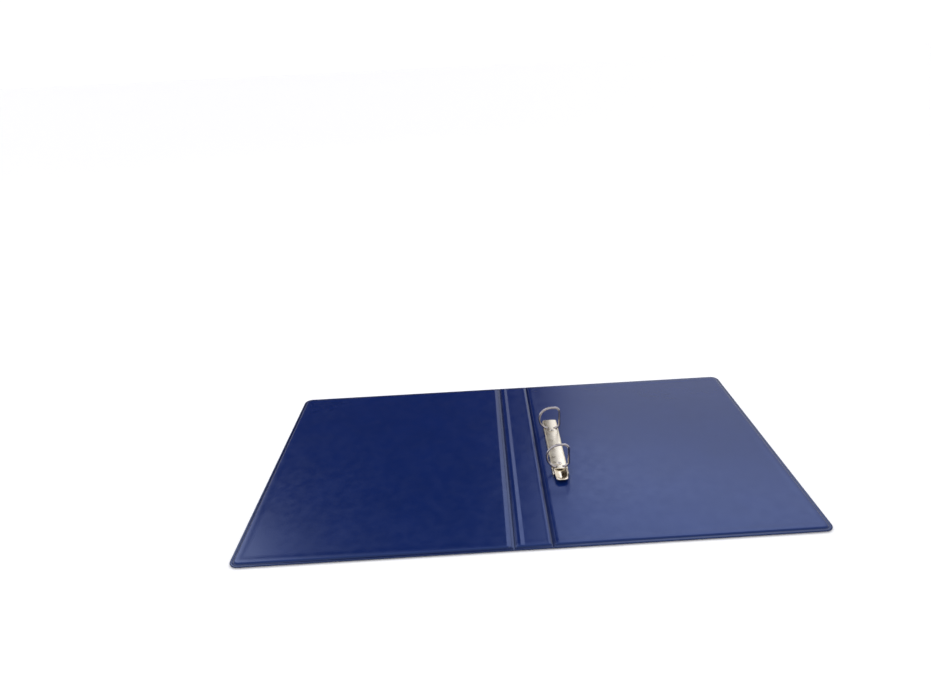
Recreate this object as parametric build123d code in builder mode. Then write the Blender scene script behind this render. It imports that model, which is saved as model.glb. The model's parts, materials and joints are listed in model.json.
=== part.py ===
from build123d import *
import os
from math import cos, radians, sin, tan

# An A4 ring binder with two D-shaped rings, lying open and flat with its inside up.
# X runs across the open covers: the front cover is at -X, the back cover at +X.
# Y runs from the binder's bottom edge (-Y) to its top edge (+Y), and Z is up.
# The origin is the middle of the open binder, on the surface it lies on. Millimetres.

os.makedirs("parts", exist_ok=True)

# Cover: three greyboards, each shut in a flat tray of vinyl welded round its rim
HEIGHT = 318.0
OPEN_WIDTH = 560.0
CORNER_RADIUS = 9.0
BOARD_THICK = 2.0
SKIN_THICK = 0.4
FILM_THICK = 0.2
EDGE_RIM = 3.0           # flat weld outside the boards, along the free edges
HINGE_RIM = 1.2          # the same, beside a hinge
TRAY_WALL = 1.0          # vinyl drawn up over a board's edge
TRAY_ROUND = 0.9         # rounding of that edge

# Hinges: soft welded strips that bend about these lines
FRONT_HINGE_X = -18.5
BACK_HINGE_X = 19.5
STRIP_HALF = 1.5

# Clear pockets on the outside, open towards the top edge
POCKET_INSET = 1.0
POCKET_MOUTH_Y = 148.0

# Ring mechanism, on the inside of the back cover
MECH_X = 39.2
RING_Y = 40.0            # half of the 80 mm between the two rings
WIRE_RADIUS = 1.3
RING_TOP = 35.3          # height of the wire's centre line over the crown of the ring
BULGE_X = 13.9           # left side of the D, from the rail's middle
POST_X = 9.9             # straight side of the D
TIP_X = 2.0              # where the two halves of a ring meet
TIP_GAP = 0.06
BULGE_RADIUS = 14.0
BULGE_EASE = 0.1         # straight run between the two arcs of the bulge
BULGE_LEAN = 25.0        # slope in degrees of the run from the slot to the bulge
KNEE_RADIUS = 2.0        # bend just above a plate
KNEE_RISE = 3.6
POST_KNEE_RISE = 2.6
POST_FOOT_Z = 11.3
POST_FOOT_RADIUS = 3.0
POST_TOP_RADIUS = 5.5

HOUSING_WIDTH = 17.5
HOUSING_FAR = 59.0
HOUSING_NEAR = -43.4     # near edge of the crown
EAR_NEAR = -51.6         # near edge of the two ears that carry the lever's pin
EAR_TOP = 6.4
CROWN_Z = 8.0            # top of the arch
SHOULDER_Z = 7.3
SHOULDER_ROUND = 2.8
SHEET = 0.8
HEM_TOP = 4.3
HEM_INNER_X = 6.4
HEM_NEAR = -45.6
EAR_INNER_X = 7.6
EAR_STEP = 5.0           # above this the ears are clear for the lever right up to the crown
SLOT_INNER_X = 2.9
SLOT_HALF = 1.7
SLOT_FLOOR = 6.0

PLATE_PIVOT_X = 7.4
PLATE_PIVOT_Z = 4.9
PLATE_LENGTH = 7.3       # from its pivot to its inner edge
PLATE_THICK = 0.9
PLATE_TILT = 4.5         # degrees below level, with the rings shut
PLATE_FAR = 56.5
PLATE_NEAR = -45.4
FOOT_REACH = 2.75        # from a plate's pivot to a ring's foot
STAKE_GAP = 0.02

RIVET_Y = 34.0
RIVET_RADIUS = 1.7
RIVET_BORE = 0.9
RIVET_GAP = 0.02
COLLAR_RADIUS = 2.1
COLLAR_TOP = 7.12
TOP_HEAD_RADIUS = 2.75
TOP_HEAD_Z = 8.45
BACK_HEAD_RADIUS = 3.2
PLATE_NOTCH = 2.5
WASHER_RADIUS = 4.5
WASHER_GAP = 0.2

# Trigger lever
PIN_Y = -48.2
PIN_Z = 4.7
PIN_RADIUS = 1.0
PIN_LENGTH = 17.3
LEVER_BORE = 1.05
EAR_BORE = 1.02
LEVER_HALF = 7.2
LIP_HALF = 6.0
LEVER_FAR = -43.8
LEVER_NEAR = -63.4
LEVER_TOP = 7.7
LIP_BOTTOM = 6.5
BROW_BOTTOM = 6.2        # underside of the stretch over the ends of the hinge plates
HUB_FAR = -46.4
HUB_NEAR = -50.2
HUB_BOTTOM = 3.5
BELLY_Y = -52.5
BELLY_Z = 4.4
LIP_ROUND = 3.0
TONGUE_HALF = 1.2
TONGUE_TIP = -42.8
TONGUE_BOTTOM = 3.1
TONGUE_TOP = 3.85
DISH_CENTRE = (MECH_X, -53.6, 8.6)
DISH_RADII = (5.9, 9.3, 2.9)

# Heights through the cover, from the table up
SKIN_Z = FILM_THICK
BOARD_Z = SKIN_Z + SKIN_THICK
LINER_Z = BOARD_Z + BOARD_THICK
COVER_TOP = LINER_Z + SKIN_THICK
WELD_Z = (SKIN_Z + COVER_TOP) / 2

# Each panel: its low and high X edges, the rims there and the radii of its corners there
PANELS = {
    "front": ((-OPEN_WIDTH / 2, FRONT_HINGE_X - STRIP_HALF), (EDGE_RIM, HINGE_RIM), (CORNER_RADIUS, 0)),
    "spine": ((FRONT_HINGE_X + STRIP_HALF, BACK_HINGE_X - STRIP_HALF), (HINGE_RIM, HINGE_RIM), (0, 0)),
    "back": ((BACK_HINGE_X + STRIP_HALF, OPEN_WIDTH / 2), (HINGE_RIM, EDGE_RIM), (0, CORNER_RADIUS)),
}
RIVET_PLACES = [(MECH_X, -RIVET_Y), (MECH_X, RIVET_Y)]


def save(part, name):
    """Labels a finished piece with its name and writes it as its own STEP file."""
    part.label = name
    export_step(part, f"parts/{name}.step")


def panel_outline(panel, with_rim=False, wall=0.0):
    """A panel in plan: the whole weld with its rim, or its tray moved in by a wall."""
    (x_low, x_high), (rim_low, rim_high), (round_low, round_high) = PANELS[panel]
    side = 0.0 if with_rim else EDGE_RIM + wall
    low = x_low if with_rim else x_low + rim_low + wall
    high = x_high if with_rim else x_high - rim_high - wall
    with BuildSketch() as outline:
        with Locations(((low + high) / 2, 0)):
            Rectangle(high - low, HEIGHT - 2 * side)
        if round_low:
            fillet(outline.vertices().group_by(Axis.X)[0], round_low - side)
        if round_high:
            fillet(outline.vertices().group_by(Axis.X)[-1], round_high - side)
    return outline.sketch


def across(y):
    """A plane that cuts the rail square across at y: its X is X from the rail, its Y is Z."""
    return Plane(origin=(MECH_X, y, 0), x_dir=(1, 0, 0), z_dir=(0, -1, 0))


# ---- Boards ----

def make_board(panel):
    """The greyboard of one panel, with holes for the rivets in the back one."""
    outline = panel_outline(panel, wall=TRAY_WALL)
    with BuildPart() as board:
        with BuildSketch(Plane.XY.offset(BOARD_Z)):
            add(outline)
        extrude(amount=BOARD_THICK)
        if panel == "back":
            with Locations(*RIVET_PLACES):
                Hole(RIVET_RADIUS + RIVET_GAP)
    save(board.part, f"{panel}_board")


# ---- Vinyl ----

def make_tray(panel, name, face_z, rivet_hole):
    """A vinyl tray: a flat face at face_z, a rounded wall down to the weld plane and a flat rim."""
    rim = panel_outline(panel, with_rim=True)
    body = panel_outline(panel)
    pocket = panel_outline(panel, wall=TRAY_WALL)
    up = 1 if face_z > WELD_Z else -1
    depth = abs(face_z - WELD_Z)
    with BuildPart() as tray:
        with BuildSketch(Plane.XY.offset(WELD_Z)):
            add(body)
        extrude(amount=up * depth)
        face = tray.faces().sort_by(Axis.Z)[-1 if up > 0 else 0]
        fillet(face.edges(), TRAY_ROUND)
        with BuildSketch(Plane.XY.offset(WELD_Z)):
            add(rim)
        extrude(amount=up * SKIN_THICK)
        with BuildSketch(Plane.XY.offset(WELD_Z)):
            add(pocket)
        extrude(amount=up * (depth - SKIN_THICK), mode=Mode.SUBTRACT)
        if panel == "back":
            with Locations(*RIVET_PLACES):
                Hole(rivet_hole)
    save(tray.part, name)


def make_hinge_strip(x, name):
    """The soft strip between two panels, where the inner and outer vinyl are welded together."""
    with BuildPart() as strip:
        with Locations((x, 0, WELD_Z)):
            Box(2 * STRIP_HALF, HEIGHT, 2 * SKIN_THICK)
    save(strip.part, name)


def make_pocket(panel):
    """A clear film over the outside of a panel, ending below the top edge to leave a mouth."""
    (x_low, x_high), (rim_low, rim_high), _ = PANELS[panel]
    low = x_low + rim_low + POCKET_INSET
    high = x_high - rim_high - POCKET_INSET
    bottom = -HEIGHT / 2 + EDGE_RIM + POCKET_INSET
    with BuildPart() as film:
        with BuildSketch(Plane.XY):
            with Locations(((low + high) / 2, (bottom + POCKET_MOUTH_Y) / 2)):
                Rectangle(high - low, POCKET_MOUTH_Y - bottom)
        extrude(amount=FILM_THICK)
        if panel == "front":
            corner = film.edges().filter_by(Axis.Z).group_by(Axis.X)[0].sort_by(Axis.Y)[0]
            fillet(corner, CORNER_RADIUS - EDGE_RIM)
    save(film.part, f"{panel}_pocket_film")


for panel_name in PANELS:
    make_board(panel_name)
    make_tray(panel_name, f"{panel_name}_inner_liner", COVER_TOP, RIVET_RADIUS + RIVET_GAP)
    make_tray(panel_name, f"{panel_name}_outer_skin", SKIN_Z, WASHER_RADIUS + WASHER_GAP)
make_hinge_strip(FRONT_HINGE_X, "front_hinge_weld")
make_hinge_strip(BACK_HINGE_X, "back_hinge_weld")
make_pocket("spine")
make_pocket("front")


# ---- Ring housing ----

def make_housing():
    """The sprung steel arch: crown, hemmed lips for the plates, slots for the rings and two ears."""
    half = HOUSING_WIDTH / 2
    length = HOUSING_FAR - EAR_NEAR
    with BuildPart() as housing:
        with BuildSketch(across(HOUSING_FAR)) as profile:
            with BuildLine():
                Polyline((-half, SHOULDER_Z), (-half, COVER_TOP), (half, COVER_TOP), (half, SHOULDER_Z))
                ThreePointArc((half, SHOULDER_Z), (0, CROWN_Z), (-half, SHOULDER_Z))
            make_face()
            fillet(profile.vertices().group_by(Axis.Y)[-1], SHOULDER_ROUND)
        extrude(amount=length)
        with BuildSketch(across(HOUSING_FAR)) as hollow:
            with BuildLine():
                inner = half - SHEET
                Polyline((-inner, SHOULDER_Z - SHEET), (-inner, 0), (inner, 0), (inner, SHOULDER_Z - SHEET))
                ThreePointArc((inner, SHOULDER_Z - SHEET), (0, CROWN_Z - SHEET), (-inner, SHOULDER_Z - SHEET))
            make_face()
            fillet(hollow.vertices().group_by(Axis.Y)[-1], SHOULDER_ROUND - SHEET)
        extrude(amount=length, mode=Mode.SUBTRACT)
        # The hems along the lips, which the hinge plates turn on
        hem = half - SHEET / 2 - HEM_INNER_X
        for side in (-1, 1):
            with Locations((MECH_X + side * (HEM_INNER_X + hem / 2), (PLATE_FAR + HEM_NEAR) / 2, COVER_TOP)):
                Box(hem, PLATE_FAR - HEM_NEAR, HEM_TOP - COVER_TOP, align=(Align.CENTER, Align.CENTER, Align.MIN))
        # The crown stops short, so that the side walls go on as ears
        ear_length = HOUSING_NEAR - EAR_NEAR
        with Locations((MECH_X, EAR_NEAR, EAR_TOP)):
            Box(HOUSING_WIDTH, ear_length, CROWN_Z, align=(Align.CENTER, Align.MIN, Align.MIN), mode=Mode.SUBTRACT)
        for floor, reach in ((0, HEM_NEAR - EAR_NEAR), (EAR_STEP, ear_length)):
            with Locations((MECH_X, EAR_NEAR, floor)):
                Box(2 * EAR_INNER_X, reach, CROWN_Z, align=(Align.CENTER, Align.MIN, Align.MIN),
                    mode=Mode.SUBTRACT)
        with Locations(Location((MECH_X, PIN_Y, PIN_Z), (0, 90, 0))):
            Hole(EAR_BORE)
        # The slots in both shoulders, for the rings' feet
        slot_length = half - SLOT_INNER_X
        for side in (-1, 1):
            slot_x = MECH_X + side * (SLOT_INNER_X + slot_length / 2)
            with Locations((slot_x, -RING_Y, SLOT_FLOOR), (slot_x, RING_Y, SLOT_FLOOR)):
                Box(slot_length, 2 * SLOT_HALF, CROWN_Z, align=(Align.CENTER, Align.CENTER, Align.MIN),
                    mode=Mode.SUBTRACT)
        with Locations(*RIVET_PLACES):
            Hole(RIVET_RADIUS + RIVET_GAP)
    save(housing.part, "ring_housing")


def make_lever_pin():
    """The pin through both ears and the lever."""
    with BuildPart() as pin:
        with Locations(Location((MECH_X, PIN_Y, PIN_Z), (0, 90, 0))):
            Cylinder(PIN_RADIUS, PIN_LENGTH)
    save(pin.part, "lever_pin")


def make_rivets():
    """Two hollow rivets through the crown and the cover, each with a collar that props the crown up."""
    steps = (
        (BACK_HEAD_RADIUS, 0, FILM_THICK),
        (RIVET_RADIUS, 0, CROWN_Z),
        (COLLAR_RADIUS, COVER_TOP, COLLAR_TOP),
        (TOP_HEAD_RADIUS, CROWN_Z, TOP_HEAD_Z),
    )
    with BuildPart() as rivets:
        for radius, low, high in steps:
            with Locations(*[(x, y, low) for x, y in RIVET_PLACES]):
                Cylinder(radius, high - low, align=(Align.CENTER, Align.CENTER, Align.MIN))
        with Locations(*RIVET_PLACES):
            Hole(RIVET_BORE)
    save(rivets.part, "mounting_rivets")


def make_washers():
    """Washers let into the outer vinyl, which spread the rivets' pull over the board."""
    with BuildPart() as washers:
        with Locations(*[(x, y, SKIN_Z) for x, y in RIVET_PLACES]):
            Cylinder(WASHER_RADIUS, SKIN_THICK, align=(Align.CENTER, Align.CENTER, Align.MIN))
        with Locations(*RIVET_PLACES):
            Hole(RIVET_RADIUS + RIVET_GAP)
    save(washers.part, "rivet_washers")


make_housing()
make_lever_pin()
make_rivets()
make_washers()


# ---- Hinge plates and ring halves ----

def plate_frame(side, reach, rise):
    """A point on a plate, seen along the rail: reach from its pivot and rise off its middle."""
    tilt = radians(PLATE_TILT)
    x = PLATE_PIVOT_X - reach * cos(tilt) - rise * sin(tilt)
    z = PLATE_PIVOT_Z - reach * sin(tilt) + rise * cos(tilt)
    return side * x, z


def make_plate(side, name):
    """One of the two plates that meet along the rail: they tip up in the middle to part the rings."""
    pivot = (side * PLATE_PIVOT_X, PLATE_PIVOT_Z)
    edge = Align.MAX if side > 0 else Align.MIN
    with BuildPart() as plate:
        with BuildSketch(across(PLATE_FAR)):
            with Locations(pivot):
                Rectangle(PLATE_LENGTH, PLATE_THICK, rotation=side * PLATE_TILT, align=(edge, Align.CENTER))
                Circle(PLATE_THICK / 2)
        extrude(amount=PLATE_FAR - PLATE_NEAR)
        foot_x, foot_z = plate_frame(side, FOOT_REACH, 0)
        for y in (-RING_Y, RING_Y):
            with Locations(Location((MECH_X + foot_x, y, foot_z), (0, -side * PLATE_TILT, 0))):
                Hole(WIRE_RADIUS + STAKE_GAP)
        with Locations(*RIVET_PLACES):
            Hole(PLATE_NOTCH)
    save(plate.part, name)


def bulge_path():
    """The left half of a ring: up out of the slot and round in one wide arc to the tip."""
    turn = radians(90 - BULGE_LEAN)
    low_z = RING_TOP - BULGE_RADIUS * (1 + tan(turn / 2)) - BULGE_EASE
    knee_x = plate_frame(-1, FOOT_REACH, KNEE_RISE)[0]
    knee = (knee_x, low_z - (knee_x + BULGE_X) * tan(radians(BULGE_LEAN)))
    points = [knee, (-BULGE_X, low_z), (-BULGE_X, RING_TOP), (TIP_X - TIP_GAP / 2, RING_TOP)]
    return points, (KNEE_RADIUS, BULGE_RADIUS, BULGE_RADIUS)


def post_path():
    """The right half of a ring: out of the slot, up a straight post and across to the tip."""
    points = [
        plate_frame(1, FOOT_REACH, POST_KNEE_RISE),
        (POST_X, POST_FOOT_Z),
        (POST_X, RING_TOP),
        (TIP_X + TIP_GAP / 2, RING_TOP),
    ]
    return points, (KNEE_RADIUS, POST_FOOT_RADIUS, POST_TOP_RADIUS)


def make_ring_half(side, y, name):
    """Half a ring of round wire, from its foot in a plate to the tip."""
    points, radii = bulge_path() if side < 0 else post_path()
    foot = plate_frame(side, FOOT_REACH, -PLATE_THICK / 2)
    with BuildPart() as half:
        with BuildLine(across(y)) as path:
            FilletPolyline(foot, *points, radius=radii)
        with BuildSketch(Plane(origin=path.line @ 0, z_dir=path.line % 0)):
            Circle(WIRE_RADIUS)
        sweep()
    save(half.part, name)


for side, hand in ((-1, "left"), (1, "right")):
    make_plate(side, f"{hand}_hinge_plate")
    for y, place in ((-RING_Y, "near"), (RING_Y, "far")):
        make_ring_half(side, y, f"{place}_ring_{hand}_half")


# ---- Trigger lever ----

def make_lever():
    """A dished thumb lever: pressing its lip swings the tongue up under the hinge plates."""
    dish = Pos(*DISH_CENTRE) * scale(Sphere(1), by=DISH_RADII)
    with BuildPart() as lever:
        with BuildSketch(Plane.YZ.offset(MECH_X - LEVER_HALF)):
            with BuildLine():
                Polyline(
                    (LEVER_FAR, LEVER_TOP),
                    (LEVER_NEAR, LEVER_TOP),
                    (LEVER_NEAR, LIP_BOTTOM),
                    (BELLY_Y, BELLY_Z),
                    (HUB_NEAR, HUB_BOTTOM),
                    (HUB_FAR, HUB_BOTTOM),
                    (HUB_FAR, BROW_BOTTOM),
                    (LEVER_FAR, BROW_BOTTOM),
                    close=True,
                )
            make_face()
        extrude(amount=2 * LEVER_HALF)
        with BuildSketch(Plane.XY) as plan:
            with BuildLine():
                Polyline(
                    (MECH_X - LEVER_HALF, LEVER_FAR),
                    (MECH_X - LEVER_HALF, HUB_NEAR),
                    (MECH_X - LIP_HALF, LEVER_NEAR),
                    (MECH_X + LIP_HALF, LEVER_NEAR),
                    (MECH_X + LEVER_HALF, HUB_NEAR),
                    (MECH_X + LEVER_HALF, LEVER_FAR),
                    close=True,
                )
            make_face()
            fillet(plan.vertices().group_by(Axis.Y)[0], LIP_ROUND)
        extrude(amount=CROWN_Z, mode=Mode.INTERSECT)
        add(dish, mode=Mode.SUBTRACT)
        with Locations((MECH_X, PIN_Y, TONGUE_BOTTOM)):
            Box(2 * TONGUE_HALF, TONGUE_TIP - PIN_Y, TONGUE_TOP - TONGUE_BOTTOM,
                align=(Align.CENTER, Align.MIN, Align.MIN))
        with Locations(Location((MECH_X, PIN_Y, PIN_Z), (0, 90, 0))):
            Hole(LEVER_BORE)
    save(lever.part, "trigger_lever")


make_lever()
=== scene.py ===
# %% [markdown]
# # A two-ring binder, open on a table
# The binder is three sheets of grey board, welded between two skins of soft vinyl, with a sprung steel
# rail and two D-shaped rings riveted inside the back cover. The design, with every size and joint, comes
# in as a fixed frame. This lesson puts the looks around it: the vinyl, the welds, the plated metal and a
# plain studio.

import json
import math

import bpy
import numpy as np
from mathutils import Matrix, Vector


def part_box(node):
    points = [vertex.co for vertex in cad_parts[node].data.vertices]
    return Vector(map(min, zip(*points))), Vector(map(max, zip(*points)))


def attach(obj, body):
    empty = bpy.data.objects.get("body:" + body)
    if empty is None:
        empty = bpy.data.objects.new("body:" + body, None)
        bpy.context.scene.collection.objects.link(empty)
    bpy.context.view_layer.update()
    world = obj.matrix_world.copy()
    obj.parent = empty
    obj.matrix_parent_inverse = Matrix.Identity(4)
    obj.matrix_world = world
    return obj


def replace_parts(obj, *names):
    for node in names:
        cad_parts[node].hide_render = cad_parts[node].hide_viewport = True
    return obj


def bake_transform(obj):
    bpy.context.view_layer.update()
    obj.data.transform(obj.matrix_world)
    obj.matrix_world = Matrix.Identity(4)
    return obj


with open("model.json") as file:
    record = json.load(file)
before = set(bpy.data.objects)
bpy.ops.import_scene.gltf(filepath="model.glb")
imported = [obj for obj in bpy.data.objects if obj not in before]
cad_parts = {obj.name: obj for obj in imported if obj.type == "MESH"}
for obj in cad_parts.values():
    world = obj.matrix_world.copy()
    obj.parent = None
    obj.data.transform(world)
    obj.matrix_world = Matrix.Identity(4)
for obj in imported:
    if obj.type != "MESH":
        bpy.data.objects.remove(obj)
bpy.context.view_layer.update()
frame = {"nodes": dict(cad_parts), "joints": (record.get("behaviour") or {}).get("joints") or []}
MM = 0.001
joints = {joint["name"]: joint for joint in frame["joints"]}
print("nodes:", len(frame["nodes"]), "joints:", sorted(joints))

# %% [markdown]
# ## The camera
# The binder is seen from the side of its bottom edge, a little over half a metre away and about forty
# centimetres up, with a wide lens. Turning the camera in three plain steps (round, down, then level)
# keeps each angle readable, where one set of Euler angles would mix them.

# %% Place the camera
EYE = Vector((-0.0349, -0.6261, 0.4143))    # metres, as every Blender object is
TURN_RIGHT = math.radians(0.99)
LOOK_DOWN = math.radians(23.60)
ROLL = math.radians(-2.84)
LENS, SENSOR = 25.07, 36.0                  # millimetres
SHIFT_X, SHIFT_Y = -0.031, -0.008           # shares of the frame's width, a small shift for the framing
NEAREST = 0.01
camera = bpy.data.objects.new("camera", bpy.data.cameras.new("camera"))
bpy.context.scene.collection.objects.link(camera)
aim = (
    Matrix.Rotation(-TURN_RIGHT, 4, "Z")
    @ Matrix.Rotation(math.pi / 2 - LOOK_DOWN, 4, "X")
    @ Matrix.Rotation(ROLL, 4, "Z")
)
camera.matrix_world = Matrix.Translation(EYE) @ aim
camera.data.lens = LENS
camera.data.sensor_width = SENSOR
camera.data.shift_x = SHIFT_X
camera.data.shift_y = SHIFT_Y
camera.data.clip_start = NEAREST
bpy.context.scene.camera = camera
print("camera at", tuple(round(c, 3) for c in EYE))

# %% [markdown]
# ## Helpers for meshes
# Every new surface here is a grid: two parameters go in as whole numpy arrays and a block of points comes
# out. One function turns such a block into a mesh, closes it round where it is a tube, and shades it
# smooth. That is quicker than adding vertices one by one, and the shape stays a formula.

# %% Grid to mesh
MERGE = 0.002           # mm; points nearer than this become one where a ribbon's ends close


def grid_faces(rows, columns, wrap):
    """Corner numbers of the quads of a grid; with wrap, the last column joins the first."""
    across = columns if wrap else columns - 1
    row, column = np.meshgrid(np.arange(rows - 1), np.arange(across), indexing="ij")
    after = (column + 1) % columns
    quads = np.stack([row * columns + column, row * columns + after,
                      (row + 1) * columns + after, (row + 1) * columns + column], axis=-1)
    return quads.reshape(-1, 4)


def make_mesh(name, points, quads):
    """A smooth-shaded mesh object of quads, its points in millimetres."""
    mesh = bpy.data.meshes.new(name)
    mesh.vertices.add(len(points))
    mesh.vertices.foreach_set("co", (points * MM).astype(np.float32).ravel())
    mesh.loops.add(quads.size)
    mesh.loops.foreach_set("vertex_index", quads.astype(np.int32).ravel())
    mesh.polygons.add(len(quads))
    mesh.polygons.foreach_set("loop_start", np.arange(0, quads.size, 4, dtype=np.int32))
    mesh.polygons.foreach_set("use_smooth", np.ones(len(quads), bool))
    mesh.update(calc_edges=True)
    mesh.validate()
    piece = bpy.data.objects.new(name, mesh)
    bpy.context.scene.collection.objects.link(piece)
    return piece


def mark_weld_and_groove_shade(piece, share):
    """Stores, from 0 to 1, how much each point is darkened: painted shade in the grooves and the welds'
    darker tone.
    """
    attribute = piece.data.attributes.new("pressed", "FLOAT", "POINT")
    attribute.data.foreach_set("value", share.astype(np.float32).ravel())


def grid_piece(name, block, wrap=False, flip=False):
    """A piece from a (rows, columns, 3) block of points."""
    rows, columns = block.shape[:2]
    quads = grid_faces(rows, columns, wrap)
    if flip:
        quads = quads[:, ::-1]
    return make_mesh(name, block.reshape(-1, 3), quads)


def closed_ribbon(name, top, under):
    """A solid from an upper and a lower block of points: a loop over the top and back underneath, whose two
    ends are drawn together half way between top and bottom."""
    middle = (top + under) / 2
    top, under = (np.concatenate([middle[:1], side, middle[-1:]]) for side in (top, under))
    piece = grid_piece(name, np.concatenate([top, under[:, ::-1]], axis=1), wrap=True)
    piece.modifiers.new("close the ends", "WELD").merge_threshold = MERGE * MM
    return piece


def ease(low, high, value):
    """0 below low, 1 above high, and a smooth step between them."""
    t = np.clip((value - low) / (high - low), 0.0, 1.0)
    return t * t * (3 - 2 * t)


# %% [markdown]
# ## Helpers for materials
# Colours are written as the hex values a painter would pick, and one function turns them to the linear
# light that the renderer adds up. One more function adds a node, sets its values and links it.

# %% Colour and node helpers
def colour(code):
    """An sRGB hex code as linear light: each channel is ((c + 0.055) / 1.055) to the power 2.4."""
    channels = [int(code[i:i + 2], 16) / 255 for i in (1, 3, 5)]
    return (*[c / 12.92 if c <= 0.04045 else ((c + 0.055) / 1.055) ** 2.4 for c in channels], 1.0)


def node(tree, kind, inputs=None, **settings):
    """Adds a node: settings are its properties, inputs are values or sockets to link, by name or place."""
    new = tree.nodes.new(kind)
    for name, value in settings.items():
        setattr(new, name, value)
    for name, value in (inputs or {}).items():
        if isinstance(value, bpy.types.NodeSocket):
            tree.links.new(value, new.inputs[name])
        else:
            new.inputs[name].default_value = value
    return new


def start_material(name, **constants):
    """An empty material with one Principled shader; constants are set on the shader's own sockets."""
    material = bpy.data.materials.new(name)
    material.use_nodes = True
    tree = material.node_tree
    tree.nodes.clear()
    shader = node(tree, "ShaderNodeBsdfPrincipled")
    for socket, value in constants.items():
        shader.inputs[socket.replace("_", " ")].default_value = value
    node(tree, "ShaderNodeOutputMaterial", {"Surface": shader.outputs["BSDF"]})
    place = node(tree, "ShaderNodeTexCoord").outputs["Object"]
    return material, tree, shader, place


# %% [markdown]
# ## Vinyl
# The cover is plasticised PVC film, rolled with a very fine matt grain, dyed navy right through. The
# plasticiser makes it a little softer in gloss than hard plastic: broad, cloudy highlights, not mirrors.
# Its index of refraction is about 1.53. Three things break up the flat colour: the calender's grain, slow
# cloudy changes in dye and gloss, and painted shade down in the hinge grooves, along with the welds' own
# darker tone. The meshes carry that last one as an attribute called pressed, from 0 to 1.

# %% Vinyl material
GRAIN = 0.45            # mm between the bumps; the real grain is about 0.2, too fine to show
CLOUD = 45.0            # mm across one cloud in the dye
RUB = 9.0               # mm across one patch of duller or brighter gloss
PVC_IOR = 1.53
SHEEN = "#A9C4FF"       # the dye tints the gloss a little
WELD_AND_GROOVE_SHADE = "#040F34" # painted shade down in the hinge grooves, and the welds' own darker tone


def vinyl(name, deep, pale, roughness, grain_depth):
    """Calendered PVC: grain in the bump, cloudy gloss, and dye that varies by a few percent."""
    material, tree, shader, place = start_material(name, IOR=PVC_IOR, Specular_Tint=colour(SHEEN))
    clouds = node(tree, "ShaderNodeTexNoise", {"Vector": place, "Scale": 1 / (CLOUD * MM), "Detail": 3.0})
    dye = node(tree, "ShaderNodeMix",
               {"Factor": clouds.outputs["Fac"], "A": colour(deep), "B": colour(pale)}, data_type="RGBA")
    # painted shade: the dye darkens towards the bottom of the hinge grooves, and on the welds, by the
    # attribute pressed
    pressed = node(tree, "ShaderNodeAttribute", attribute_name="pressed").outputs["Fac"]
    dye_and_groove_shade = node(tree, "ShaderNodeMix",
                 {"Factor": pressed, "A": dye.outputs["Result"], "B": colour(WELD_AND_GROOVE_SHADE)},
                 data_type="RGBA")
    tree.links.new(dye_and_groove_shade.outputs["Result"], shader.inputs["Base Color"])
    rubs = node(tree, "ShaderNodeTexNoise", {"Vector": place, "Scale": 1 / (RUB * MM), "Detail": 5.0})
    gloss = node(tree, "ShaderNodeMapRange",
                 {"Value": rubs.outputs["Fac"], "From Min": 0.3, "From Max": 0.7,
                  "To Min": roughness - 0.03, "To Max": roughness + 0.05})
    tree.links.new(gloss.outputs["Result"], shader.inputs["Roughness"])
    grain = node(tree, "ShaderNodeTexNoise", {"Vector": place, "Scale": 1 / (GRAIN * MM), "Detail": 2.0})
    bump = node(tree, "ShaderNodeBump",
                {"Height": grain.outputs["Fac"], "Strength": 0.5, "Distance": grain_depth * MM})
    tree.links.new(bump.outputs["Normal"], shader.inputs["Normal"])
    return material


# The lining is a satin navy; the cover's outside and the welds are a touch darker and smoother.
navy_lining = vinyl("calendered_pvc_navy_lining", "#081C4E", "#0B2058", 0.22, 0.006)
navy_cover = vinyl("calendered_pvc_navy_cover", "#081B4B", "#0B1F54", 0.21, 0.006)
navy_weld = vinyl("welded_pvc_navy", "#081B4C", "#0B1F56", 0.21, 0.004)
print("vinyl materials ready")

# %% [markdown]
# ## Clear film
# The pockets outside are clear plasticised PVC. It transmits nearly all light, and shows up by its gloss.
# PVC's index is 1.53, but where the film clings to the skin below, the two inner faces mirror nothing. The
# film here lies just clear of the skin, so a lower index makes up for those two extra reflections.

# %% Clear film material
FILM_IOR = 1.25
RIPPLE = 14.0           # mm between the film's own soft ripples
clear_film, tree, shader, place = start_material(
    "clear_pvc_film", Base_Color=colour("#F2F6FC"), Roughness=0.08, IOR=FILM_IOR, Transmission_Weight=1.0)
ripple = node(tree, "ShaderNodeTexNoise", {"Vector": place, "Scale": 1 / (RIPPLE * MM), "Detail": 2.0})
bump = node(tree, "ShaderNodeBump",
            {"Height": ripple.outputs["Fac"], "Strength": 0.3, "Distance": 0.05 * MM})
tree.links.new(bump.outputs["Normal"], shader.inputs["Normal"])

# %% [markdown]
# ## Grey board
# The stiffening is plain recycled board, buried in the vinyl. It is hardly ever seen, but it still has
# its flecks of fibre.

# %% Grey board material
FLECK = 1.5             # mm, the length of a fleck of fibre
grey_board, tree, shader, place = start_material("recycled_grey_board", Roughness=0.9)
flecks = node(tree, "ShaderNodeTexNoise", {"Vector": place, "Scale": 1 / (FLECK * MM), "Detail": 6.0})
fibre = node(tree, "ShaderNodeMix",
             {"Factor": flecks.outputs["Fac"], "A": colour("#6E6A62"), "B": colour("#A39E92")},
             data_type="RGBA")
tree.links.new(fibre.outputs["Result"], shader.inputs["Base Color"])
bump = node(tree, "ShaderNodeBump",
            {"Height": flecks.outputs["Fac"], "Strength": 0.3, "Distance": 0.05 * MM})
tree.links.new(bump.outputs["Normal"], shader.inputs["Normal"])

# %% [markdown]
# ## Nickel plate
# Rail, rings and lever are steel with bright nickel over it. Nickel is a warmer grey than chrome, about
# #D3CBBE. The rail and the lever are pressed from strip, so under the plating they keep the fine lines of
# rolling along their length; the rings are drawn wire, rounder and smoother. Handling leaves small
# scratches and a dull bloom here and there.

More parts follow.
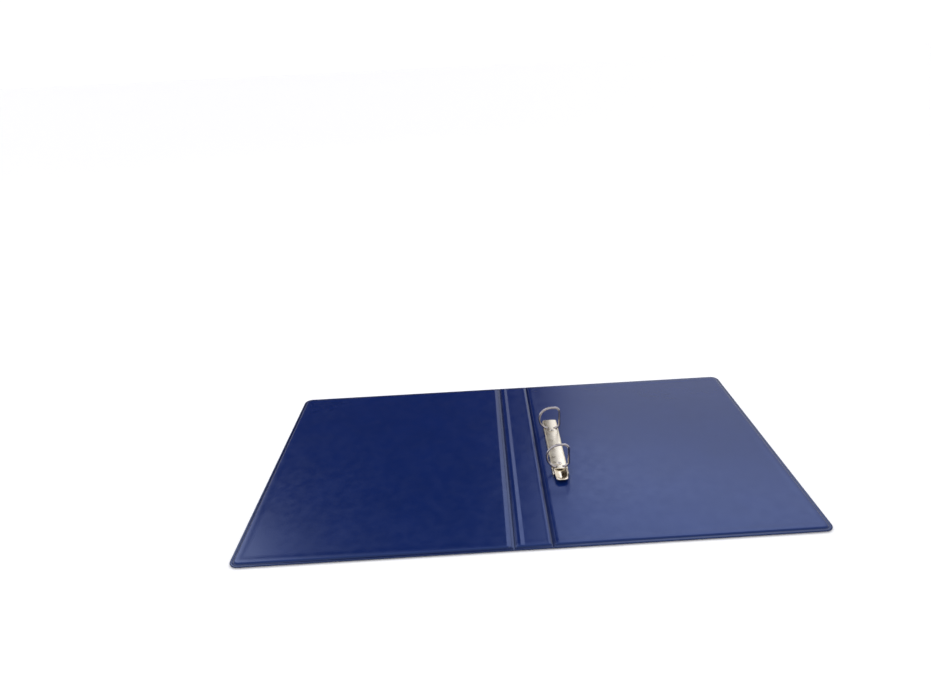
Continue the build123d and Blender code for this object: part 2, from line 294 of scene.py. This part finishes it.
# %% Nickel material
ROLLING_LINE = 0.35     # mm between rolling lines; the real ones are finer than can be shown
BLOOM = 5.0             # mm across one dull patch


def nickel(name, tint_low, tint_high, roughness, line_depth, stretch):
    """Nickel plate over steel: rolling lines drawn out by stretch along Y, bloom in the roughness."""
    material, tree, shader, place = start_material(name, Metallic=1.0)
    drawn = node(tree, "ShaderNodeMapping", {"Vector": place, "Scale": (1.0, 1.0 / stretch, 1.0)})
    lines = node(tree, "ShaderNodeTexNoise",
                 {"Vector": drawn.outputs["Vector"], "Scale": 1 / (ROLLING_LINE * MM), "Detail": 3.0})
    bloom = node(tree, "ShaderNodeTexNoise", {"Vector": place, "Scale": 1 / (BLOOM * MM), "Detail": 4.0})
    tint = node(tree, "ShaderNodeMix",
                {"Factor": bloom.outputs["Fac"], "A": colour(tint_low), "B": colour(tint_high)},
                data_type="RGBA")
    tree.links.new(tint.outputs["Result"], shader.inputs["Base Color"])
    dull = node(tree, "ShaderNodeMapRange",
                {"Value": bloom.outputs["Fac"], "From Min": 0.35, "From Max": 0.75,
                 "To Min": roughness, "To Max": roughness + 0.12})
    tree.links.new(dull.outputs["Result"], shader.inputs["Roughness"])
    bump = node(tree, "ShaderNodeBump",
                {"Height": lines.outputs["Fac"], "Strength": 0.35, "Distance": line_depth * MM})
    tree.links.new(bump.outputs["Normal"], shader.inputs["Normal"])
    return material


# Strip gives broad soft highlights with fine lines, wire is near a mirror with its tint painted darker, as
# shade for the dark vinyl it mirrors, the pressed lever is polished by thumbs, and rivets are plain and a
# little dull.
nickel_strip = nickel("nickel_plated_spring_strip", "#D2C8B2", "#E0D8C6", 0.26, 0.003, 30.0)
# painted shade: the wire's tint is darker than the other nickel, standing in for the dark cover it mirrors
nickel_wire_painted_dark = nickel("nickel_plated_drawn_wire", "#8F8A8E", "#B3AEB2", 0.05, 0.001, 3.0)
nickel_lever = nickel("nickel_plated_pressed_lever", "#C9BBA4", "#DACDB8", 0.12, 0.002, 10.0)
nickel_rivet = nickel("nickel_plated_rivet", "#C4BCAE", "#D6CEC0", 0.2, 0.002, 1.0)
print("nickel materials ready")

# %% [markdown]
# ## Sizes from the frame
# The surfaces below are placed from the frame's own boxes and joint positions, so that they fit whatever
# the design says.

# %% Read the sizes
def box_mm(name):
    """Lowest and highest corner of a frame node, in millimetres."""
    low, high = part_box(name)
    return np.array(low) / MM, np.array(high) / MM


front_low, front_high = box_mm("front_inner_liner")
spine_low, spine_high = box_mm("spine_inner_liner")
back_low, back_high = box_mm("back_inner_liner")
skin_low, _ = box_mm("back_outer_skin")
COVER_TOP = back_high[2]
WELD_Z = back_low[2]
SKIN_Z = skin_low[2]
HALF_HEIGHT = back_high[1]
FRONT_AXIS = joints["front_hinge"]["pos_m"][0] / MM
BACK_AXIS = joints["back_hinge"]["pos_m"][0] / MM
VINYL = 0.4             # mm thick
STRIP_HALF = back_low[0] - BACK_AXIS
CORNER = 9.0            # mm, the radius of the cover's corners
RIM = 3.0               # mm, the flat weld round the boards
rail_low, rail_high = box_mm("ring_housing")
RAIL_X = (rail_low[0] + rail_high[0]) / 2
print("cover top", COVER_TOP, "weld", WELD_Z, "axes", FRONT_AXIS, BACK_AXIS, "rail at", RAIL_X)

# %% [markdown]
# ## The inner lining's height
# Seen in section, the lining lies flat on the boards, rolls over their edges and drops to the weld, where
# it meets the outer skin. At the front hinge it slides down a long flat slope and climbs the padded edge
# of the spine steeply. At the back hinge it makes a V. A short list of corner points says that better
# than a formula could, and averaging the straight lines over a small sliding window rounds the corners as
# soft vinyl does. One function of x and y gives the height everywhere, so the five pieces that share it
# meet exactly.

# %% Section across the hinges
WELD_TOP = WELD_Z + VINYL
GROOVE = WELD_Z + 0.1
SECTION = np.array([
    (FRONT_AXIS - 5.6, COVER_TOP), (FRONT_AXIS + 1.3, GROOVE), (FRONT_AXIS + 3.4, COVER_TOP - 0.25),
    (FRONT_AXIS + 4.4, COVER_TOP + 0.25), (FRONT_AXIS + 6.8, COVER_TOP + 0.5), (FRONT_AXIS + 10.6, COVER_TOP),
    (BACK_AXIS - 7.0, COVER_TOP), (BACK_AXIS - 4.6, COVER_TOP + 0.04), (BACK_AXIS - 3.4, COVER_TOP - 0.15),
    (BACK_AXIS - 1.7, GROOVE), (BACK_AXIS + 2.6, COVER_TOP - 0.05), (BACK_AXIS + 4.6, COVER_TOP + 0.05),
    (BACK_AXIS + 12.0, COVER_TOP),
])
WINDOW = np.linspace(-0.55, 0.55, 9)
print("hinge grooves", round(float(COVER_TOP - GROOVE), 2), "mm deep")


def section_height(x):
    """Height across the hinges: the polyline SECTION, averaged over a 1.1 mm window to round its corners."""
    return np.mean([np.interp(x + step, SECTION[:, 0], SECTION[:, 1]) for step in WINDOW], axis=0)


def slow_waves(x, y):
    """Small unevenness of a soft sheet: sine waves at odd angles, about 0.1 mm high in all."""
    return (0.06 * np.sin(x / 61 + y / 97 + 0.4) * np.sin(y / 73 - x / 190 + 1.1)
            + 0.03 * np.sin(x / 29 - y / 37 + 2.0))


def pucker(x, y):
    """Ripples that the weld pulls into the back cover's bottom edge, fading away from the hinge."""
    along = np.exp(-((x - BACK_AXIS - 38) / 34) ** 2)
    inward = np.exp(-((y + HALF_HEIGHT - 12) / 14) ** 2)
    return 0.16 * along * inward * np.sin(x / 11.0)


def rim_crown(crown, inset):
    """The weld's profile: a bead as high as crown, 1.5 mm in, and an edge that rolls off by 0.25 mm."""
    return crown * np.exp(-((inset - 1.5) / 0.8) ** 2) - 0.25 * (1 - ease(0, 0.5, inset))


def lining_height(x, y, inset):
    """Height of the inner vinyl's upper face. inset is the distance in from the free edges."""
    section = section_height(x)
    over_edge = ease(RIM, RIM + 1.6, inset)
    flat = np.clip((section - GROOVE) / (COVER_TOP - GROOVE), 0, 1) ** 3
    rim_top = np.minimum(section, WELD_TOP)
    swell = 0.14 * np.exp(-((inset - RIM - 4.5) / 3) ** 2)
    inner = section + (slow_waves(x, y) + swell + pucker(x, y)) * flat
    return rim_top + (inner - rim_top) * over_edge + rim_crown(0.10, inset)


# %% [markdown]
# ## Sheets with rounded corners
# A panel is a grid that is fine near its edges and coarse in the middle. At a rounded corner the square
# cells are turned into a fan: a point keeps its distance from the corner's centre, measured square, and
# takes the angle that its place along the square gives it. The edge becomes a true arc and the distance
# to the edge stays what it was.

# %% Panel grid
GRID_STEP = 3.2         # mm between grid lines in the middle of a panel
CLOSEST = 0.12          # mm, the least distance that two grid lines keep
NO_EDGE = 99.0          # mm, stands for the distance from an edge that isn't free
EDGE_STEPS = np.array([0, 0.2, 0.5, 0.9, 1.4, 1.9, 2.4, 2.8, 3.1, 3.4, 3.8, 4.2, 4.7,
                       5.4, 6.4, 7.7, 9.0, 11, 13.5])


def grid_lines(low, high, fine_low, fine_high, extra=()):
    """Positions of the grid lines from low to high, packed closer beside the free edges."""
    lines = [np.arange(low, high, GRID_STEP), [high], extra]
    if fine_low:
        lines.append(low + EDGE_STEPS)
    if fine_high:
        lines.append(high - EDGE_STEPS)
    merged = np.unique(np.round(np.concatenate(lines), 3))
    keep = np.concatenate([[True], np.diff(merged) > CLOSEST])
    keep[-1] = True
    return merged[keep]


def panel_block(low, high, free_low, free_high, extra):
    """Grid points x and y of a panel with round corners, and each point's inset from the free edges. At a
    corner, across and along are measured from its centre, and the larger is the point's square distance."""
    columns = grid_lines(low, high, free_low, free_high, extra)
    rows = grid_lines(-HALF_HEIGHT, HALF_HEIGHT, True, True)
    x, y = np.meshgrid(columns, rows)
    from_side = np.minimum(x - low if free_low else NO_EDGE, high - x if free_high else NO_EDGE)
    from_end = HALF_HEIGHT - np.abs(y)
    inset = np.minimum(from_side, from_end)
    across = CORNER - from_side
    along = CORNER - from_end
    in_corner = (across > 0) & (along > 0)
    reach = np.maximum(across, along)
    wide = across >= along
    ratio = np.where(wide, along, across) / np.where(in_corner, reach, 1.0)
    angle = np.where(wide, ratio, 2 - ratio) * math.pi / 4
    shift_x = (reach * np.cos(angle) - across) * (1 if free_high else -1)
    shift_y = (reach * np.sin(angle) - along) * np.sign(y)
    return x + np.where(in_corner, shift_x, 0), y + np.where(in_corner, shift_y, 0), inset

# %% One panel's lining
def thicken(piece):
    """Gives a sheet of vinyl its thickness behind the modelled face, so that it is a closed solid."""
    wall = piece.modifiers.new("thickness", "SOLIDIFY")
    wall.thickness = VINYL * MM
    wall.offset = -1.0
    wall.use_even_offset = False


def weld_and_groove_shade_share(height):
    """Painted shade in the grooves, and the welds' darker tone: 0 where the lining lies on the boards, 1 at
    the bottom of the grooves.
    """
    untouched = COVER_TOP - 0.15
    return np.clip((untouched - height) / (untouched - GROOVE), 0, 1)


HINGE_LINES = np.arange(FRONT_AXIS - 9, BACK_AXIS + 9, 0.35)     # extra columns where the section bends


def make_lining(name, low, high, free_low, free_high, body, stands_for):
    """The inner vinyl of one panel."""
    extra = HINGE_LINES[(HINGE_LINES > low) & (HINGE_LINES < high)]
    x, y, inset = panel_block(low, high, free_low, free_high, extra)
    height = lining_height(x, y, inset)
    piece = grid_piece(name, np.stack([x, y, height], axis=-1))
    # painted shade: the lining darkens towards the bottom of its grooves and at its low welded rim
    mark_weld_and_groove_shade(piece, weld_and_groove_shade_share(height))
    piece.data.materials.append(navy_lining)
    thicken(piece)
    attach(piece, body)
    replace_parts(piece, stands_for)
    print(name, "quads:", len(piece.data.polygons))


# %% Make the three linings
make_lining("front_lining_vinyl", front_low[0], front_high[0], True, False,
            "front_cover", "front_inner_liner")
make_lining("spine_lining_vinyl", spine_low[0], spine_high[0], False, False,
            "spine", "spine_inner_liner")
make_lining("back_lining_vinyl", back_low[0], back_high[0], False, True,
            "back_cover", "back_inner_liner")

# %% [markdown]
# ## The outer skin
# The outside is the same kind of sheet seen from below: flat on the boards, up to the weld at the edges.
# Across each hinge the welding bar leaves three fine parallel ribs, where the vinyl was pressed thin so
# that it bends.

# %% Height of the outer skin
RIB_PITCH, RIB_WIDTH, RIB_HEIGHT = 1.6, 0.32, 0.2
FILM_GAP = 0.05         # mm of room between the skin and the clear film over it, so that they never coincide
BEND_START, BEND_END = STRIP_HALF + 0.8, STRIP_HALF + 2.6       # where the skin climbs from weld to boards
WELD_UNDER = WELD_Z - VINYL


def hinge_ribs(x):
    """Three narrow bell-shaped ribs beside each other over both hinge lines, 0.2 mm proud."""
    total = np.zeros_like(x)
    for axis in (FRONT_AXIS, BACK_AXIS):
        for place in (-RIB_PITCH, 0.0, RIB_PITCH):
            total += np.exp(-((x - axis - place) / RIB_WIDTH) ** 2)
    return RIB_HEIGHT * total


def skin_height(x, y, inset):
    """Height of the outer vinyl's lower face: low on the boards, up at the weld near hinges and edges."""
    past_front = ease(BEND_START, BEND_END, np.abs(x - FRONT_AXIS))
    past_back = ease(BEND_START, BEND_END, np.abs(x - BACK_AXIS))
    body = past_front * past_back * ease(RIM, RIM + 1.5, inset)
    flat = (WELD_UNDER - SKIN_Z - FILM_GAP) * body
    return WELD_UNDER - flat - rim_crown(0.06, inset) - hinge_ribs(x)


def make_skin(name, low, high, free_low, free_high, body, stands_for):
    """The outer vinyl of one panel."""
    extra = HINGE_LINES[(HINGE_LINES > low) & (HINGE_LINES < high)]
    x, y, inset = panel_block(low, high, free_low, free_high, extra)
    piece = grid_piece(name, np.stack([x, y, skin_height(x, y, inset)], axis=-1), flip=True)
    piece.data.materials.append(navy_cover)
    thicken(piece)
    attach(piece, body)
    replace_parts(piece, stands_for)
    print(name, "quads:", len(piece.data.polygons))


# %% Make the three skins
make_skin("front_skin_vinyl", front_low[0], front_high[0], True, False,
          "front_cover", "front_outer_skin")
make_skin("spine_skin_vinyl", spine_low[0], spine_high[0], False, False,
          "spine", "spine_outer_skin")
make_skin("back_skin_vinyl", back_low[0], back_high[0], False, True,
          "back_cover", "back_outer_skin")

# %% [markdown]
# ## Clear pockets
# The spine has a pocket for a label and the front cover one for a title page. A pocket is one sheet of
# clear film, welded to the skin along three sides and open at the top, with a shallow thumb cut in the
# middle of its mouth. A flat box would look like a pane of glass. The film is drawn slightly into the
# welds and lies in faint waves between them, so the sheet's height depends on how far each point is from a
# welded side.

# %% Make the clear pockets
FILM = 0.10             # mm thick
WELD_LINE = 1.6         # mm from the film's edge to the middle of its weld
THUMB_DEPTH = 3.0       # mm, how far the thumb cut dips into the mouth
POCKET_STEPS = np.array([0, 0.04, 0.4, 0.8, 1.2, 1.6, 2.0, 2.4, 2.8, 3.4, 4.4])
MOUTH_STEPS = np.array([0.8, 0.04, 0])


def make_pocket(name, body, stands_for):
    """A film whose height is a groove towards the skin along the welds, and waves that fade at them. Two
    grid lines close together at each side keep its cut edges crisp."""
    low, high = box_mm(stands_for)
    width = high[0] - low[0]
    columns = np.unique(np.concatenate([
        low[0] + POCKET_STEPS, np.linspace(low[0] + 6, high[0] - 6, int(width / 3)), high[0] - POCKET_STEPS]))
    rows = np.concatenate([
        low[1] + POCKET_STEPS, np.arange(low[1] + 6, high[1] - 2, 3.0), high[1] - MOUTH_STEPS])
    x, y = np.meshgrid(columns, rows)
    middle = (low[0] + high[0]) / 2
    thumb = THUMB_DEPTH * np.exp(-((x - middle) / min(9.0, width / 5)) ** 2)
    from_weld = np.minimum(np.minimum(x - low[0], high[0] - x), y - low[1])
    y = y - thumb * ease(high[1] - 30, high[1], y)
    weld = np.exp(-((from_weld - WELD_LINE) / 0.5) ** 2)
    free = ease(3, 12, from_weld)
    waves = 0.02 * free * (1 + np.sin(x / 13 + y / 41) * np.sin(y / 17 - x / 53))
    outer = 0.03 + 0.07 * weld + waves
    piece = closed_ribbon(name, np.stack([x, y, outer + FILM], axis=-1),
                          np.stack([x, y, outer], axis=-1))
    piece.data.materials.append(clear_film)
    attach(piece, body)
    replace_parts(piece, stands_for)
    print(name, "quads:", len(piece.data.polygons))


make_pocket("front_clear_pocket", "front_cover", "front_pocket_film")
make_pocket("spine_clear_pocket", "spine", "spine_pocket_film")

# %% [markdown]
# ## Hinge strips
# Between the panels the two skins are one soft strip, which has to bend when a cover is lifted. Here it is a
# closed ribbon of its own, built where it lies and not attached to either body.

# %% Make the hinge strips
STRIP_COLUMNS = 17
UNDER_PRESSED = 0.6     # how hard the bar has pressed the strip's underside


def make_strip(name, axis, stands_for):
    """A ribbon across one hinge: the lining's height above, the outer skin's below."""
    columns = np.linspace(axis - STRIP_HALF, axis + STRIP_HALF, STRIP_COLUMNS)
    rows = grid_lines(-HALF_HEIGHT, HALF_HEIGHT, True, True)
    x, y = np.meshgrid(columns, rows)
    inset = HALF_HEIGHT - np.abs(y)
    above = lining_height(x, y, inset)
    under = skin_height(x, y, inset)
    piece = closed_ribbon(name, np.stack([x, y, above], axis=-1), np.stack([x, y, under], axis=-1))
    # painted shade on the upper face, darker down the groove; the underside gets a fixed share for the weld's
    # own darker tone
    share = np.concatenate([weld_and_groove_shade_share(above), np.full_like(above, UNDER_PRESSED)], axis=1)
    mark_weld_and_groove_shade(piece, np.concatenate([share[:1], share, share[-1:]], axis=0))
    piece.data.materials.append(navy_weld)
    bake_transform(piece)
    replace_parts(piece, stands_for)
    print(name, "quads:", len(piece.data.polygons))


make_strip("front_hinge_strip", FRONT_AXIS, "front_hinge_weld")
make_strip("back_hinge_strip", BACK_AXIS, "back_hinge_weld")

# %% [markdown]
# ## The thumb lever
# The lever is pressed from thick strip like a small spoon: a flat rim runs round a deep hollow for the
# thumb, and a hub underneath takes the pin. It could be cut from a block with boolean operations, but a
# pressed shape has soft transitions everywhere, so it is two height fields over the same outline. The
# hollow is a gutter, a parabola across, that runs out under the rail at its far end and closes in a round
# bowl before the lip. One half of it mirrors the bright side of the room and the other half the dark side.

# %% Shape the lever
lever_low, lever_high = box_mm("trigger_lever")
TONGUE_OUT = 1.0        # mm, how far the tongue reaches past the lever's body
LEVER_FAR, LEVER_NEAR = lever_high[1] - TONGUE_OUT, lever_low[1]
HALF_WIDE, HALF_LIP = (lever_high[0] - lever_low[0]) / 2, 6.0
TAPER_START = -50.2     # y, where the sides start to draw in towards the lip
LIP_ROUND = 3.0         # mm, the radius of the lip's corners
RIM_TOP, RIM_WIDTH, RIM_ROUND = lever_high[2], 0.9, 0.45
BOWL_START, BOWL_LENGTH = -57.0, 5.6
HOLLOW_DEPTH = 1.75     # mm; any deeper and the pin under it would break through
LEAST_WALL = 0.4        # mm of metal left under the hollow
UNDERSIDE = np.array([  # y and z along the lever: lip, hub round the pin, and the plate past it
    (-63.4, 6.5), (-52.5, 4.4), (-50.2, 3.5), (-46.6, 3.5), (-45.9, 6.2), (-43.8, 6.2),
])


def lever_half_width(y):
    """Half the lever's width: straight, then tapered to the lip, whose corners are quarter circles."""
    taper = np.interp(y, [LEVER_NEAR, TAPER_START], [HALF_LIP, HALF_WIDE])
    into_corner = np.clip(LEVER_NEAR + LIP_ROUND - y, 0, LIP_ROUND)
    return taper - (LIP_ROUND - np.sqrt(LIP_ROUND ** 2 - into_corner ** 2))


def make_lever():
    """The lever's body. The hollow is its depth times (1 - across^2 - into_bowl^2), and zero outside it,
    where both shares run from 0 to 1. The rim's edge is rounded by a quarter circle."""
    rows = LEVER_NEAR + (LEVER_FAR - LEVER_NEAR) * (1 - np.cos(np.linspace(0, math.pi, 73))) / 2
    turn = np.sin(np.linspace(-math.pi / 2, math.pi / 2, 65))
    share, y = np.meshgrid(turn, rows)
    half = lever_half_width(y)
    x = share * half
    across = np.abs(x) / (half - RIM_WIDTH)
    into_bowl = np.clip(BOWL_START - y, 0, None) / BOWL_LENGTH
    hollow = HOLLOW_DEPTH * np.clip(1 - across ** 2 - into_bowl ** 2, 0, 1)
    edge = np.minimum(half - np.abs(x), np.minimum(y - LEVER_NEAR, LEVER_FAR - y))
    rounding = RIM_ROUND * (1 - np.sqrt(1 - np.clip(1 - edge / RIM_ROUND, 0, 1) ** 2))
    above = RIM_TOP - hollow - rounding
    under = np.interp(y, UNDERSIDE[:, 0], UNDERSIDE[:, 1]) + rounding
    under = np.minimum(under, above - LEAST_WALL)
    piece = closed_ribbon("lever_spoon", np.stack([RAIL_X + x, y, above], axis=-1),
                          np.stack([RAIL_X + x, y, under], axis=-1))
    piece.data.materials.append(nickel_lever)
    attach(piece, "lever")
    print("lever quads:", len(piece.data.polygons), "hollow", round(float(hollow.max()), 2), "mm deep")
    return piece


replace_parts(make_lever(), "trigger_lever")

# %% Shape its tongue
TONGUE_START, TONGUE_Z = -47.0, 3.475       # y where it leaves the hub, and its height
TONGUE_HALF, TONGUE_HALF_THICK = 1.2, 0.375


def make_tongue():
    """The narrow tongue that reaches in under the hinge plates: a flat bar, its sides rounded by the
    square root of (1 - share^6)."""
    rows = np.linspace(TONGUE_START, lever_high[1], 9)
    share, y = np.meshgrid(np.sin(np.linspace(-math.pi / 2, math.pi / 2, 17)), rows)
    bulge = TONGUE_HALF_THICK * np.sqrt(np.clip(1 - share ** 6, 0, 1))
    x = RAIL_X + TONGUE_HALF * share
    piece = closed_ribbon("lever_tongue", np.stack([x, y, TONGUE_Z + bulge], axis=-1),
                          np.stack([x, y, TONGUE_Z - bulge], axis=-1))
    piece.data.materials.append(nickel_lever)
    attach(piece, "lever")
    print("tongue quads:", len(piece.data.polygons))


make_tongue()

# %% [markdown]
# ## Finish the frame's own parts
# The boards, rail, plates, rings, pin, rivets and washers have the right shape already, so they only get
# their material.

# %% Give the frame parts their materials
FRAME_MATERIALS = {
    "front_board": grey_board, "spine_board": grey_board, "back_board": grey_board,
    "ring_housing": nickel_strip, "left_hinge_plate": nickel_strip, "right_hinge_plate": nickel_strip,
    "far_ring_left_half": nickel_wire_painted_dark, "near_ring_left_half": nickel_wire_painted_dark,
    "far_ring_right_half": nickel_wire_painted_dark, "near_ring_right_half": nickel_wire_painted_dark,
    "lever_pin": nickel_rivet, "mounting_rivets": nickel_rivet, "rivet_washers": nickel_rivet,
}
for name, finish in FRAME_MATERIALS.items():
    mesh = frame["nodes"][name].data
    mesh.materials.clear()
    mesh.materials.append(finish)
print("frame parts finished:", len(FRAME_MATERIALS))

# %% [markdown]
# ## The studio
# A pale floor under an even white surround, as in a light tent. Navy vinyl is so dark that most of its
# brightness is what it mirrors, so the tent has one dark opening behind on the left, which the front
# cover mirrors and stays deep blue, and a bright soft panel behind on the right, which lifts the back
# cover to a paler blue and throws the rail's shadow forward and to the left. A smaller panel behind on the
# left puts a soft gleam on the front cover's near corner. The opening is four soft edges on an imagined
# back wall one unit away, where a direction's place is x/y across and z/y up. Only mirrored and scattered
# light sees it: looked at directly, the tent is white all round, as a backdrop would be.

# %% Floor
MOTTLE = 60.0           # mm across the paper's faint clouds
FLOOR_HALF = 60000.0    # mm, so wide that its edge is never in view
floor_material, tree, shader, place = start_material("studio_floor", Roughness=0.9)
mottle = node(tree, "ShaderNodeTexNoise", {"Vector": place, "Scale": 1 / (MOTTLE * MM), "Detail": 2.0})
paper = node(tree, "ShaderNodeMix",
             {"Factor": mottle.outputs["Fac"], "A": colour("#FAFAFA"), "B": colour("#FDFDFD")},
             data_type="RGBA")
tree.links.new(paper.outputs["Result"], shader.inputs["Base Color"])
corners = np.array([[[-1, -1, 0], [1, -1, 0]], [[-1, 1, 0], [1, 1, 0]]]) * FLOOR_HALF
floor = grid_piece("floor", corners)
floor.data.materials.append(floor_material)
print("floor", 2 * FLOOR_HALF * MM, "m square")

# %% Tent with a dark opening
OPENING_LEFT, OPENING_RIGHT = -0.33, 0.112
OPENING_FOOT, OPENING_HEAD = 0.16, 2.2
SLANT, SLANT_FROM = 1.2, 0.9                # the left edge leans outwards below this height
TENT_LIGHT, OPENING_LIGHT = 1.12, 0.05
world = bpy.data.worlds.new("light_tent")
world.use_nodes = True
tree = world.node_tree
tree.nodes.clear()
look = node(tree, "ShaderNodeSeparateXYZ",
            {0: node(tree, "ShaderNodeTexCoord").outputs["Generated"]}).outputs
across = node(tree, "ShaderNodeMath", {0: look["X"], 1: look["Y"]}, operation="DIVIDE").outputs[0]
above = node(tree, "ShaderNodeMath", {0: look["Z"], 1: look["Y"]}, operation="DIVIDE").outputs[0]
lean = node(tree, "ShaderNodeMath",
            {0: above, 1: -SLANT, 2: across}, operation="MULTIPLY_ADD").outputs[0]
EDGES = (               # what is compared, its edge, and half the edge's softness, negative for "less than"
    (lean, OPENING_LEFT - SLANT * SLANT_FROM, 0.05),
    (across, OPENING_RIGHT, -0.025),
    (above, OPENING_FOOT, 0.03),
    (above, OPENING_HEAD, -0.1),
    (look["Y"], 0.0, 0.01),
)
mask = 1.0
for value, edge, soft in EDGES:
    side = node(tree, "ShaderNodeMapRange",
                {"Value": value, "From Min": edge - soft, "From Max": edge + soft},
                interpolation_type="SMOOTHSTEP").outputs["Result"]
    mask = node(tree, "ShaderNodeMath", {0: mask, 1: side}, operation="MULTIPLY").outputs[0]
looking = node(tree, "ShaderNodeLightPath").outputs["Is Camera Ray"]
dark = node(tree, "ShaderNodeMath",
            {0: mask, 1: looking}, operation="SUBTRACT", use_clamp=True).outputs[0]
brightness = node(tree, "ShaderNodeMapRange",
                  {"Value": dark, "To Min": TENT_LIGHT, "To Max": OPENING_LIGHT})
tint = node(tree, "ShaderNodeMix",
            {"Factor": dark, "A": colour("#FDFDFF"), "B": colour("#C9A27A")}, data_type="RGBA")
tent = node(tree, "ShaderNodeBackground",
            {"Color": tint.outputs["Result"], "Strength": brightness.outputs["Result"]})
node(tree, "ShaderNodeOutputWorld", {"Surface": tent.outputs["Background"]})
bpy.context.scene.world = world
print("tent", TENT_LIGHT, "opening", OPENING_LIGHT)

# %% Soft panels
def direction(azimuth, elevation):
    """Unit vector: azimuth in degrees from +Y towards +X, elevation in degrees above the floor."""
    turn, rise = math.radians(azimuth), math.radians(elevation)
    level = math.cos(rise)
    return Vector((math.sin(turn) * level, math.cos(turn) * level, math.sin(rise)))


def soft_panel(name, toward, distance, width, height, radiance, tint):
    """An area light that faces the binder, sizes in metres; its power is radiance times pi times area."""
    light = bpy.data.lights.new(name, "AREA")
    light.shape = "RECTANGLE"
    light.size = width
    light.size_y = height
    light.energy = radiance * math.pi * width * height
    light.color = colour(tint)[:3]
    lamp = bpy.data.objects.new(name, light)
    bpy.context.scene.collection.objects.link(lamp)
    lamp.location = toward * distance
    lamp.rotation_euler = toward.to_track_quat("Z", "Y").to_euler()
    print(name, "power", round(light.energy, 2), "W")


soft_panel("back_right_panel", direction(27, 44), distance=2.2, width=1.2, height=0.9,
           radiance=1.75, tint="#D6E0FF")
soft_panel("back_left_panel", direction(-43, 38), distance=2.4, width=0.6, height=1.0,
           radiance=2.8, tint="#F2F5FF")

# %% View transform
bpy.context.scene.view_settings.view_transform = "Standard"     # keeps the backdrop white and the navy deep
